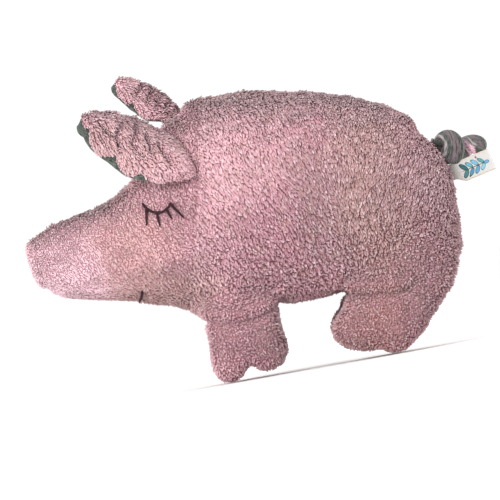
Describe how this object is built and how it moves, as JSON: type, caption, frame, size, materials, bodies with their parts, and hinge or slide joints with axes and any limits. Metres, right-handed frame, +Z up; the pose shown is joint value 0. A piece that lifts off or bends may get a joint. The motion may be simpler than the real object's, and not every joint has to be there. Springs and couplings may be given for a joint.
{
  "type": "plush toy pig",
  "caption": "Plush pig standing on short cloven legs, with a long snout, stitched shut eyes, lined floppy ears that flap, a curly jersey tail and a folded ribbon label at the rump.",
  "frame": {"origin": "on the floor under the middle of the standing toy's bounding box", "axes": "+X from the nose to the tail, +Y to the toy's right, +Z up"},
  "size_m": [0.383, 0.1631, 0.2572],
  "materials": {
    "pile": "short curly pink pile, dusky in places",
    "filling": "loose polyester fibre, off-white",
    "jersey": "smooth heather jersey, dark grey-green, paler stripes on the tail",
    "thread": "dark brown embroidery thread, slight sheen",
    "ribbon": "off-white woven ribbon, satin"
  },
  "bodies": {
    "body": {"body_cover_left": "pile", "body_cover_right": "pile", "belly_panel": "pile", "head_cover_left": "pile", "head_cover_right": "pile", "snout_disc": "pile", "front_left_leg_cover": "pile", "front_right_leg_cover": "pile", "rear_left_leg_cover": "pile", "rear_right_leg_cover": "pile", "body_filling": "filling", "head_filling": "filling", "front_left_leg_filling": "filling", "front_right_leg_filling": "filling", "rear_left_leg_filling": "filling", "rear_right_leg_filling": "filling", "left_eye": "thread", "right_eye": "thread", "left_mouth_stitch": "thread", "right_mouth_stitch": "thread"},
    "left_ear": {"left_ear_plush": "pile", "left_ear_lining": "jersey"},
    "right_ear": {"right_ear_plush": "pile", "right_ear_lining": "jersey"},
    "tail": {"tail": "jersey"},
    "label": {"label_ribbon": "ribbon"}
  },
  "joints": [
    {"name": "left_ear_flap", "type": "hinge", "parent": "body", "child": "left_ear", "pos_m": [-0.05276, -0.04927, 0.18243], "axis": [-0.3163, 0.4101, 0.8554], "range_deg": [-15, 60], "stiffness_Nm_per_rad": 0.02},
    {"name": "right_ear_flap", "type": "hinge", "parent": "body", "child": "right_ear", "pos_m": [-0.05276, 0.04927, 0.18243], "axis": [-0.3163, -0.4101, 0.8554], "range_deg": [-30, 40], "stiffness_Nm_per_rad": 0.02},
    {"name": "tail_swing", "type": "hinge", "parent": "body", "child": "tail", "pos_m": [0.15026, 0, 0.15474], "axis": [0, 0, 1], "range_deg": [-6, 22], "stiffness_Nm_per_rad": 0.004},
    {"name": "label_flap", "type": "hinge", "parent": "body", "child": "label", "pos_m": [0.15733, 0, 0.13313], "axis": [-0.2328, 0, 0.9725], "range_deg": [-45, 0], "stiffness_Nm_per_rad": 0.0005}
  ]
}
